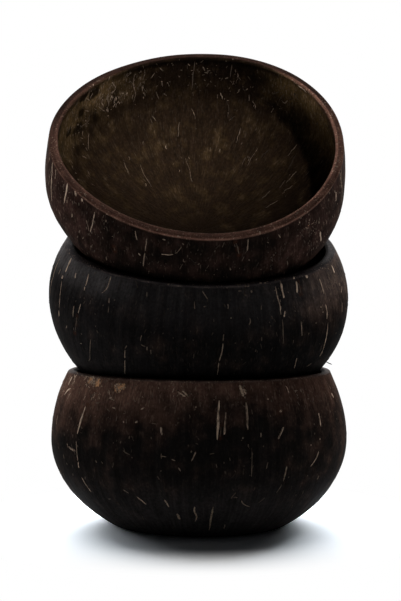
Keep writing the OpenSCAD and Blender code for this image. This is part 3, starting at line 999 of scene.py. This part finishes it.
def strand(rng, points, normals, width, proud):
    """A closed, tapered fibre of four sides along surface points: its vertices, its faces, and the place
    of each face's corners on a unit square, along and round the fibre."""
    count = len(points)
    along = np.gradient(points, axis=0)
    along /= np.linalg.norm(along, axis=1, keepdims=True)
    side = np.cross(normals, along)
    side /= np.linalg.norm(side, axis=1, keepdims=True)
    share = np.linspace(0, 1, count)
    taper = np.clip(np.sin(math.pi * share) * 1.8, 0.0, 1.0) ** 0.7
    ragged = 1 + 0.35 * np.interp(share, np.linspace(0, 1, 7), rng.uniform(-1, 1, 7))
    half = (width / 2 * taper * ragged)[:, None]
    rise = (proud * (0.3 + 0.7 * taper))[:, None]
    rings = np.stack([
        points + side * half, points + normals * rise, points - side * half, points - normals * rise
    ], 1)[1:-1].reshape(-1, 3)
    tips = points[[0, -1]] - normals[[0, -1]] * proud / 2
    faces, corners = [], []
    for k in range(4):
        after = (k + 1) % 4
        low, middle, high = k / 4, (k + 0.5) / 4, (k + 1) / 4
        for ring in range(count - 3):
            a, b = ring * 4 + k, ring * 4 + after
            near, far = share[ring + 1], share[ring + 2]
            faces.append((a, b, b + 4, a + 4))
            corners += [(near, low), (near, high), (far, high), (far, low)]
        last = (count - 3) * 4
        faces += [(len(rings), after, k), (len(rings) + 1, last + k, last + after)]
        corners += [(0, middle), (share[1], high), (share[1], low)]
        corners += [(1, middle), (share[-2], low), (share[-2], high)]
    return np.concatenate([rings, tips]), faces, corners


def resampled(points, spacing):
    """Points at an even spacing along a smooth line through the given ones."""
    length = running_length(points)
    count = max(int(length[-1] / spacing) + 1, 5)
    at = np.linspace(0, length[-1], count)
    line = np.stack([np.interp(at, length, points[:, k]) for k in range(3)], 1)
    for _ in range(2):
        line[1:-1] = (line[:-2] + 2 * line[1:-1] + line[2:]) / 4
    return line


def on_surface(tree, points):
    """The surface's nearest point to each point, and its normal there."""
    found = [tree.find_nearest(Vector(p)) for p in points]
    return np.array([f[0] for f in found]), np.array([f[1] for f in found])


def laid_strand(rng, tree, line, width, proud, wander):
    """A strand laid on the surface nearest to a line, wandering a little from side to side."""
    points, normals = on_surface(tree, resampled(np.array(line), STRAND_SPACING * MM))
    side = np.cross(normals, np.gradient(points, axis=0))
    side /= np.maximum(np.linalg.norm(side, axis=1, keepdims=True), 1e-9)
    share = np.linspace(0, 1, len(points))
    drift = np.interp(share, np.linspace(0, 1, 6), rng.uniform(-1, 1, 6)) * wander
    points, normals = on_surface(tree, points + side * drift[:, None])
    return strand(rng, points, normals, width, proud)


class StrandHeap:
    """Gathers strands into the mesh of one piece."""

    def __init__(self, tree, proud):
        self.tree, self.proud = tree, proud
        self.verts, self.faces, self.corners, self.tones, self.rusts = [], [], [], [], []
        self.count = 0

    def lay(self, rng, line, width, wander, tone, rust):
        self.put(laid_strand(rng, self.tree, line, width, self.proud, wander), tone, rust)

    def put(self, made, tone, rust):
        verts, faces, corners = made
        self.faces += [tuple(i + self.count for i in f) for f in faces]
        self.verts.append(verts)
        self.corners.append(np.array(corners))
        self.tones += [tone] * len(verts)
        self.rusts += [rust] * len(verts)
        self.count += len(verts)

    def piece(self, name, material, body):
        made = new_object(name, np.concatenate(self.verts), self.faces, [material])
        set_attribute(made.data, "tone", np.array(self.tones))
        set_attribute(made.data, "rusty", np.array(self.rusts))
        # Each strand has a cell of its own on the flat, with a margin
        across = math.ceil(math.sqrt(len(self.corners)))
        flat = [
            (np.array([i % across, i // across]) + 0.1 + 0.8 * c) / across
            for i, c in enumerate(self.corners)
        ]
        made.data.uv_layers.new(name="OFBake").data.foreach_set("uv", np.concatenate(flat).ravel())
        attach(made, body)


def own_route(form, inset, angle, height, length, lean):
    """A short line on the outer face, or on the inner one with the wall as inset, about the grain's way."""
    share = np.linspace(-0.5, 0.5, 9)
    low = (form.wall if inset else 0) - form.base_drop
    rise = np.clip(height + share * length * math.cos(lean), low, form.rim_rise)
    reach = np.where(rise < 0, form.lower, form.upper) - inset
    radius = (form.belly_r - inset) * np.sqrt(np.clip(1 - (rise / reach) ** 2, 0, 1))
    turn = angle + share * length * math.sin(lean) / form.belly_r
    radius = radius * form.lobes(turn)
    return form.world(np.stack([radius * np.cos(turn), radius * np.sin(turn), rise], 1))


def scattered(rng, form, count, start, end, lowest, highest):
    """Angles and heights on a bowl's wall, thicker together in some places than in others."""
    angle = rng.uniform(start, end, 3 * count)
    height = rng.uniform(lowest, highest, 3 * count)
    height *= np.where(height > 0, form.rim_rise, form.base_drop)
    spots = np.stack([form.belly_r * np.cos(angle), form.belly_r * np.sin(angle), height], 1)
    thick = waves(rng, spots, 40, 9, 20) + 0.6 * rng.random(3 * count)
    chosen = np.argsort(-thick, kind="stable")[:count]
    return list(zip(angle[chosen], height[chosen]))


def grain_line(form, point, normal, lean, length):
    """A short straight line at a surface point, turned by lean from the grain's way."""
    up = form.turn[:, 2]
    along = up - normal * (up @ normal)
    along /= np.linalg.norm(along)
    way = along * math.cos(lean) + np.cross(normal, along) * math.sin(lean)
    return point + np.linspace(-0.5, 0.5, 5)[:, None] * way * length


def faces_out(form, point, normal):
    """Whether a point of the wall lies on its outer side."""
    own = (point - form.place) @ form.turn
    return (normal @ form.turn)[:2] @ own[:2] > 0


def lay_routes(rng, heap, routes):
    """The fibres whose routes the photograph shows."""
    for (width, tone, rust), *route in routes:
        line = [hit for hit, _ in (photo_hit(heap.tree, p) for p in route) if hit is not None]
        if len(line) > 1:
            heap.lay(rng, line, width * MM, 0.12 * MM, tone, rust)


def lay_patches(rng, form, heap, patches, outside, longest):
    """Patches of many short fibres, where the photograph shows them."""
    for count, spread, tone, turn, middle in patches:
        for _ in range(count):
            hit, normal = photo_hit(heap.tree, rng.normal(middle, spread))
            length = MM * (0.7 + (longest - 0.7) * rng.random() ** 2)
            width = rng.uniform(0.25, 0.6) * MM
            lean, share, rust = rng.normal(0, turn), rng.uniform(0.35, 1), rng.random() ** 2
            if hit is None or faces_out(form, np.array(hit), np.array(normal)) != outside:
                continue
            line = grain_line(form, np.array(hit), np.array(normal), lean, length)
            heap.lay(rng, line, width, 0.1 * MM, tone * share, 0.7 * rust)


def lay_rim_specks(rng, form, heap):
    """Pale specks in the top bowl's sawn rim, laid as short strands."""
    for pixel in RIM_SPECKS:
        hit, normal = photo_hit(heap.tree, pixel)
        lean, length = rng.uniform(0, math.pi), rng.uniform(0.7, 1.3) * MM
        if hit is not None:
            line = grain_line(form, np.array(hit), np.array(normal), lean, length)
            heap.lay(rng, line, 0.6 * MM, 0.1 * MM, rng.uniform(0.5, 0.9), 0.2)


def lay_stray(rng, form, heap):
    """The one fibre that stands off the middle bowl's side."""
    pixel, stand_off = STRAY_FIBRE
    hit, normal = photo_hit(heap.tree, pixel)
    if hit is None:
        raise RuntimeError("the stray fibre's pixel lies off the middle bowl")
    share = np.linspace(0, 1, 7)[:, None]
    way = np.array(normal) * stand_off * MM
    line = np.array(hit) - way * 0.1 + way * share + form.turn[:, 2] * share ** 2 * MM
    heap.put(strand(rng, line, np.tile(form.turn[:, 2], (7, 1)), 0.5 * MM, 0.25 * MM), 0.15, 0.0)


def skewed(rng, least, more, power):
    """A random value from least to more above it, mostly nearer to least where the power is over 1."""
    return least + more * rng.random() ** power


def lay_random(rng, form, heap, count, turns, heights, inset, length, lean, width, wander, tone):
    """Random fibres about the grain's way. turns, heights and width are ranges, and length and tone each
    a least value, what is added to it at most, and the power of the draw. Lengths are in mm."""
    for angle, height in scattered(rng, form, count, *turns, *heights):
        reach = MM * skewed(rng, *length)
        line = own_route(form, inset, angle, height, reach, rng.normal(0, lean))
        across, pale = rng.uniform(*width) * MM, skewed(rng, *tone)
        heap.lay(rng, line, across, wander * MM, pale, rng.random() ** 2)


class BOWLS_OT_shells(bpy.types.Operator):
    """Builds the three shells on the sizes and places of the CAD model"""

    bl_idname = "bowls.shells"
    bl_label = "Coconut shells"

    def execute(self, context):
        for node in BOWLS:
            colours = Palette(node)
            materials = [sanded_shell(colours), sawn_shell(colours), scraped_shell(colours)]
            made = build_shell(node, settings().shape, materials)
            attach(made, node)
            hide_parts(node)
        return {"FINISHED"}


class BOWLS_OT_husk_fibres(bpy.types.Operator):
    """Lays the husk fibres on the outside and the fine hairs on the inside of each bowl"""

    bl_idname = "bowls.husk_fibres"
    bl_label = "Husk fibres"

    def execute(self, context):
        fibre = settings().fibre
        material = husk_fibre(Palette("top_bowl"))
        for node in BOWLS:
            rng = np.random.default_rng(fibre.seed + BOWLS.index(node))
            tree = surface_tree(bpy.data.objects[f"{node}_shell"])
            form = Form(node)
            outside, inside = StrandHeap(tree, fibre.proud), StrandHeap(tree, fibre.proud)
            lay_routes(rng, outside, OUTER_FIBRES[node])
            lay_patches(rng, form, outside, FLECK_PATCHES[node], True, 3.2)
            if node == "top_bowl":
                lay_routes(rng, inside, INNER_FIBRES)
                lay_patches(rng, form, inside, HAIR_PATCHES, False, 5.0)
                lay_rim_specks(rng, form, inside)
            if node == "middle_bowl":
                lay_stray(rng, form, outside)
            # The front is left to the routes above: the long random ones keep to the other sides
            lay_random(
                rng, form, outside, fibre.outer_count, turns=(-0.12 * math.pi, 1.12 * math.pi),
                heights=(-0.85, 0.9), inset=0, length=(2, 26, 2.5), lean=0.2, width=(0.3, 0.75),
                wander=0.3, tone=(0.25, 0.55, 1),
            )
            lay_random(
                rng, form, outside, fibre.fleck_count, turns=(0, math.tau), heights=(-0.9, 0.95),
                inset=0, length=(0.8, 4, 3), lean=0.35, width=(0.2, 0.5), wander=0.1,
                tone=(0, FLECK_TONES[node], 1.5),
            )
            lay_random(
                rng, form, inside, fibre.inner_count, turns=(0, math.tau), heights=(-0.8, 0.9),
                inset=form.wall, length=(0.8, 8, 3), lean=0.5, width=(0.2, 0.4), wander=0.4,
                tone=(0, 0.35, 1),
            )
            outside.piece(f"{node}_husk_fibres", material, node)
            inside.piece(f"{node}_inner_hairs", material, node)
        return {"FINISHED"}


class BOWLS_OT_stage(bpy.types.Operator):
    """Sets the camera, two softboxes behind the bowls, a snoot above the camera and a white floor"""

    bl_idname = "bowls.stage"
    bl_label = "Studio stage"

    def execute(self, context):
        stage = settings().stage
        scene = context.scene
        scene.view_settings.view_transform = "Standard"
        camera = bpy.data.cameras.new("photo_camera")
        camera.lens = stage.focal_length
        camera.sensor_width = 36
        camera.clip_start, camera.clip_end = 0.01, 20
        holder = bpy.data.objects.new("photo_camera", camera)
        holder.location = (0, -stage.camera_distance, stage.camera_height)
        holder.rotation_euler = (math.pi / 2 - stage.camera_pitch, 0, 0)
        scene.collection.objects.link(holder)
        scene.camera = holder
        context.view_layer.update()
        lamp(
            "back_softbox", place=(0, 1.19, 1.17), target_height=0.1, width=2.4, height=0.92,
            power=stage.back_power,
        )
        lamp(
            "low_softbox", place=(-0.20, 1.44, 0.45), target_height=0.1, width=2.6, height=0.6,
            power=stage.low_power,
        )
        # Its snoot keeps it off the floor and the lower bowls: it is there for the top bowl's inside
        lamp(
            "top_snoot", place=(0.25, -0.85, 0.80), target_height=0.225, width=0.12, height=0.08,
            power=stage.snoot_power, spread=7,
        )
        half, drop = FLOOR_SIZE / 2, FLOOR_DROP * MM
        corners = [(-half, -half, -drop), (half, -half, -drop), (half, half, -drop), (-half, half, -drop)]
        floor = new_object("floor", np.array(corners), [(0, 1, 2, 3)], [floor_paper("white_seamless_paper")])
        cloth = new_object("black_cloth", *cloth_dome(), [black_cloth("black_velvet_cloth")])
        cloth.visible_camera = False
        cloth.visible_diffuse = False
        cloth.visible_shadow = False
        white_world(scene)
        return {"FINISHED"}


def lamp(name, place, target_height, width, height, power, spread=180):
    """A softbox that faces the stack's axis, seen in nothing, with its spread in degrees."""
    light = bpy.data.lights.new(name, "AREA")
    light.shape = "RECTANGLE"
    light.size, light.size_y = width, height
    light.energy = power
    light.spread = math.radians(spread)
    made = bpy.data.objects.new(name, light)
    made.location = place
    way = Vector((0, 0, target_height)) - Vector(place)
    made.rotation_euler = way.to_track_quat("-Z", "Y").to_euler()
    made.visible_camera = False
    made.visible_glossy = False
    bpy.context.scene.collection.objects.link(made)


def cloth_dome():
    """Dome round the camera's side and the sides, so that the bowls mirror a dark room there."""
    radius, rows, columns = CLOTH_RADIUS, 10, 32
    verts = [
        (radius * math.cos(e) * math.sin(a), -radius * math.cos(e) * math.cos(a), radius * math.sin(e))
        for e in np.linspace(0, math.radians(82), rows)
        for a in np.linspace(-math.radians(150), math.radians(150), columns)
    ]
    faces = [
        (r * columns + c, r * columns + c + 1, (r + 1) * columns + c + 1, (r + 1) * columns + c)
        for r in range(rows - 1) for c in range(columns - 1)
    ]
    return np.array(verts), faces


def black_cloth(name):
    """Velvet: nearly no light comes back from it."""
    material = new_material(name)
    tree = material.node_tree
    weave = add(tree, "ShaderNodeTexNoise", {"Scale": 400.0})
    colour = lay(tree, opaque(linear("#020202")), opaque(linear("#080808")), weave)
    surface = add(tree, "ShaderNodeBsdfDiffuse", {"Color": colour})
    add(tree, "ShaderNodeOutputMaterial", {"Surface": surface})
    return material


def seen_directly(tree):
    """1 for rays that show the background itself, in the picture, in gloss and through glass."""
    camera, glossy, through = (
        add(tree, "ShaderNodeLightPath", out=f"Is {kind} Ray")
        for kind in ("Camera", "Glossy", "Transmission")
    )
    either = add(tree, "ShaderNodeMath", {0: camera, 1: glossy}, operation="MAXIMUM")
    return add(tree, "ShaderNodeMath", {0: either, 1: through}, operation="MAXIMUM")


def floor_paper(name):
    """White seamless paper: it keeps the shadow near the bowls and is plain white further out."""
    material = new_material(name)
    tree = material.node_tree
    place = add(tree, "ShaderNodeTexCoord", out="Object")
    flat = add(tree, "ShaderNodeVectorMath", {0: place, 1: (1.12, 1, 0)}, operation="MULTIPLY")
    away = add(tree, "ShaderNodeVectorMath", {0: flat}, out="Value", operation="LENGTH")
    seen = seen_directly(tree)
    far = add(
        tree, "ShaderNodeMapRange", {"Value": away, "From Min": 0.071, "From Max": 0.135, "To Max": seen},
        interpolation_type="SMOOTHSTEP",
    )
    # Seen directly the paper is exposed as the photograph is, so that only the shadow stays below white
    shade = lay(tree, (0.7, 0.7, 0.7, 1), (1.56, 1.68, 1.80, 1), seen)
    paper = add(tree, "ShaderNodeBsdfDiffuse", {"Color": shade})
    white = add(tree, "ShaderNodeEmission", {"Color": (1, 1, 1, 1), "Strength": 1.0})
    surface = add(tree, "ShaderNodeMixShader", {0: far, 1: paper, 2: white})
    add(tree, "ShaderNodeOutputMaterial", {"Surface": surface})
    return material


def white_world(scene):
    """White where it is seen directly, and dim as a source of light."""
    world = bpy.data.worlds.new("white_studio")
    world.use_nodes = True
    tree = world.node_tree
    tree.nodes.clear()
    dim = add(tree, "ShaderNodeBackground", {"Color": (1, 1, 1, 1), "Strength": 0.01})
    white = add(tree, "ShaderNodeBackground", {"Color": (1, 1, 1, 1), "Strength": 1.0})
    surface = add(tree, "ShaderNodeMixShader", {0: seen_directly(tree), 1: dim, 2: white})
    add(tree, "ShaderNodeOutputWorld", {"Surface": surface})
    scene.world = world


class BowlSettings(bpy.types.PropertyGroup):
    """All settings of the stack."""

    shape: PointerProperty(type=ShellShapeSettings)
    colours: PointerProperty(type=ShellColourSettings)
    fibre: PointerProperty(type=FibreSettings)
    stage: PointerProperty(type=StageSettings)


OPERATORS = (BOWLS_OT_stage, BOWLS_OT_shells, BOWLS_OT_husk_fibres)


class BOWLS_PT_panel(bpy.types.Panel):
    """Lists the steps of the stack"""

    bl_label = "Coconut Shell Bowls"
    bl_idname = "BOWLS_PT_panel"
    bl_space_type = "VIEW_3D"
    bl_region_type = "UI"
    bl_category = "Bowls"

    def draw(self, context):
        for operator in OPERATORS:
            self.layout.operator(operator.bl_idname)


CLASSES = (
    ShellShapeSettings, ShellColourSettings, FibreSettings, StageSettings, BowlSettings,
    *OPERATORS, BOWLS_PT_panel,
)


def register():
    for cls in CLASSES:
        bpy.utils.register_class(cls)
    bpy.types.Scene.coconut_bowls = PointerProperty(type=BowlSettings)


def unregister():
    del bpy.types.Scene.coconut_bowls
    for cls in reversed(CLASSES):
        bpy.utils.unregister_class(cls)


def main():
    register()
    for operator in OPERATORS:
        group, name = operator.bl_idname.split(".")
        getattr(getattr(bpy.ops, group), name)()


if __name__ == "__main__":
    main()
